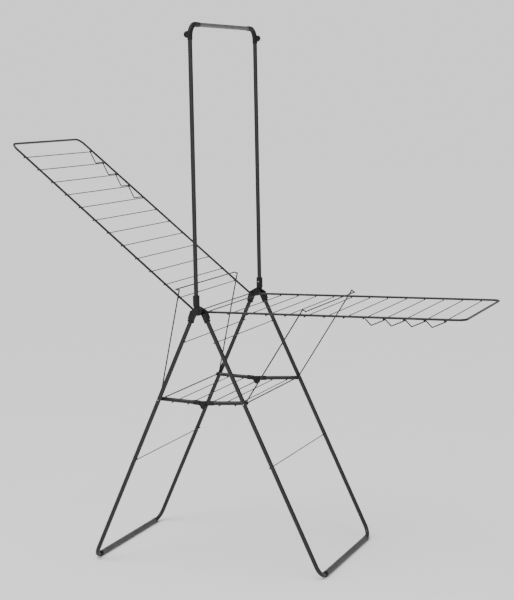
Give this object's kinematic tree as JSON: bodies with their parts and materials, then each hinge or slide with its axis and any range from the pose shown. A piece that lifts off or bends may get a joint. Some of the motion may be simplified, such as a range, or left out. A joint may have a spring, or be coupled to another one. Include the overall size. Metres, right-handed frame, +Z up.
{
  "type": "folding clothes airer",
  "caption": "Free-standing folding clothes airer with hinged legs, two raised wings on wire props, a locking shelf and a lift-off garment rail",
  "frame": {"origin": "On the floor, midway between the four legs and straight below the hub pins", "axes": "+X to the right wing, +Y to the back, +Z up"},
  "size_m": [1.7317, 0.6192, 1.9835],
  "materials": {
    "frame_black": "near-black powder coat, low sheen",
    "wire_grey": "dark grey powder coat, low sheen",
    "rail_grey": "mid grey powder coat, low sheen",
    "foot_grey": "mid grey matt plastic sleeve",
    "hub_plastic": "black moulded plastic, fine grain",
    "pin_steel": "plain steel rivets and screws"
  },
  "bodies": {
    "left_leg": {"left_leg_tube": "frame_black", "left_leg_wires": "wire_grey", "left_foot_sleeve": "foot_grey", "left_foot_collars": "hub_plastic", "left_outer_hub_half": "hub_plastic", "left_inner_hub_half": "hub_plastic", "left_pivot_pins": "pin_steel"},
    "right_leg": {"right_leg_tube": "frame_black", "right_leg_wires": "wire_grey", "right_foot_sleeve": "foot_grey", "right_foot_collars": "hub_plastic", "right_outer_hub_half": "hub_plastic", "right_inner_hub_half": "hub_plastic", "right_pivot_pins": "pin_steel"},
    "hub": {"front_rail_socket": "hub_plastic", "back_rail_socket": "hub_plastic", "socket_screws": "pin_steel", "front_hub_pin": "pin_steel", "back_hub_pin": "pin_steel"},
    "rail": {"front_upright": "frame_black", "back_upright": "frame_black", "top_bar": "rail_grey", "front_elbow": "hub_plastic", "back_elbow": "hub_plastic"},
    "left_wing": {"left_wing_tube": "frame_black", "left_wing_pivot_rod": "wire_grey", "left_wing_wires": "wire_grey", "left_hanger_wire": "wire_grey"},
    "right_wing": {"right_wing_tube": "frame_black", "right_wing_pivot_rod": "wire_grey", "right_wing_wires": "wire_grey", "right_hanger_wire": "wire_grey"},
    "left_prop": {"left_prop": "wire_grey"},
    "right_prop": {"right_prop": "wire_grey"},
    "left_shelf": {"left_shelf_bars": "frame_black", "left_shelf_plugs": "hub_plastic", "left_shelf_knuckles": "hub_plastic", "left_shelf_wires": "wire_grey", "left_shelf_end_rod": "wire_grey", "shelf_hinge_rod": "wire_grey"},
    "right_shelf": {"right_shelf_bars": "frame_black", "right_shelf_plugs": "hub_plastic", "right_shelf_knuckles": "hub_plastic", "right_shelf_wires": "wire_grey", "right_shelf_end_rod": "wire_grey"}
  },
  "joints": [
    {"name": "leg_fold", "type": "hinge", "parent": "left_leg", "child": "right_leg", "pos_m": [0, 0, 0.956], "axis": [0, 1, 0], "range_deg": [0, 49]},
    {"name": "hub_turn", "type": "hinge", "parent": "left_leg", "child": "hub", "pos_m": [0, 0, 0.956], "axis": [0, 1, 0], "range_deg": [0, 24.6]},
    {"name": "rail_lift", "type": "slide", "parent": "hub", "child": "rail", "axis": [0, 0, 1], "range_m": [0, 0.15]},
    {"name": "left_shelf_turn", "type": "hinge", "parent": "left_leg", "child": "left_shelf", "pos_m": [-0.1674, 0, 0.624], "axis": [0, -1, 0], "range_deg": [0, 67.5]},
    {"name": "shelf_centre_turn", "type": "hinge", "parent": "left_shelf", "child": "right_shelf", "pos_m": [0, 0, 0.604], "axis": [0, 1, 0], "range_deg": [0, 184]},
    {"name": "left_wing_fold", "type": "hinge", "parent": "left_leg", "child": "left_wing", "pos_m": [-0.02165, 0, 0.95051], "axis": [0, -1, 0], "range_deg": [0, 101.8]},
    {"name": "right_wing_fold", "type": "hinge", "parent": "right_leg", "child": "right_wing", "pos_m": [0.02165, 0, 0.95051], "axis": [0, 1, 0], "range_deg": [0, 62]},
    {"name": "right_prop_turn", "type": "hinge", "parent": "right_leg", "child": "right_prop", "pos_m": [0.1674, 0, 0.624], "axis": [0, 1, 0], "range_deg": [0, 109]},
    {"name": "left_prop_turn", "type": "hinge", "parent": "left_leg", "child": "left_prop", "pos_m": [-0.1674, 0, 0.624], "axis": [0, 1, 0], "range_deg": [0, 7]}
  ],
  "couplings": [
    {"joint": "hub_turn", "follows": "leg_fold", "ratio": 0.5},
    {"joint": "left_shelf_turn", "follows": "leg_fold", "ratio": 1.374},
    {"joint": "shelf_centre_turn", "follows": "leg_fold", "ratio": 3.748},
    {"joint": "right_prop_turn", "follows": "right_wing_fold", "ratio": 1.75}
  ]
}
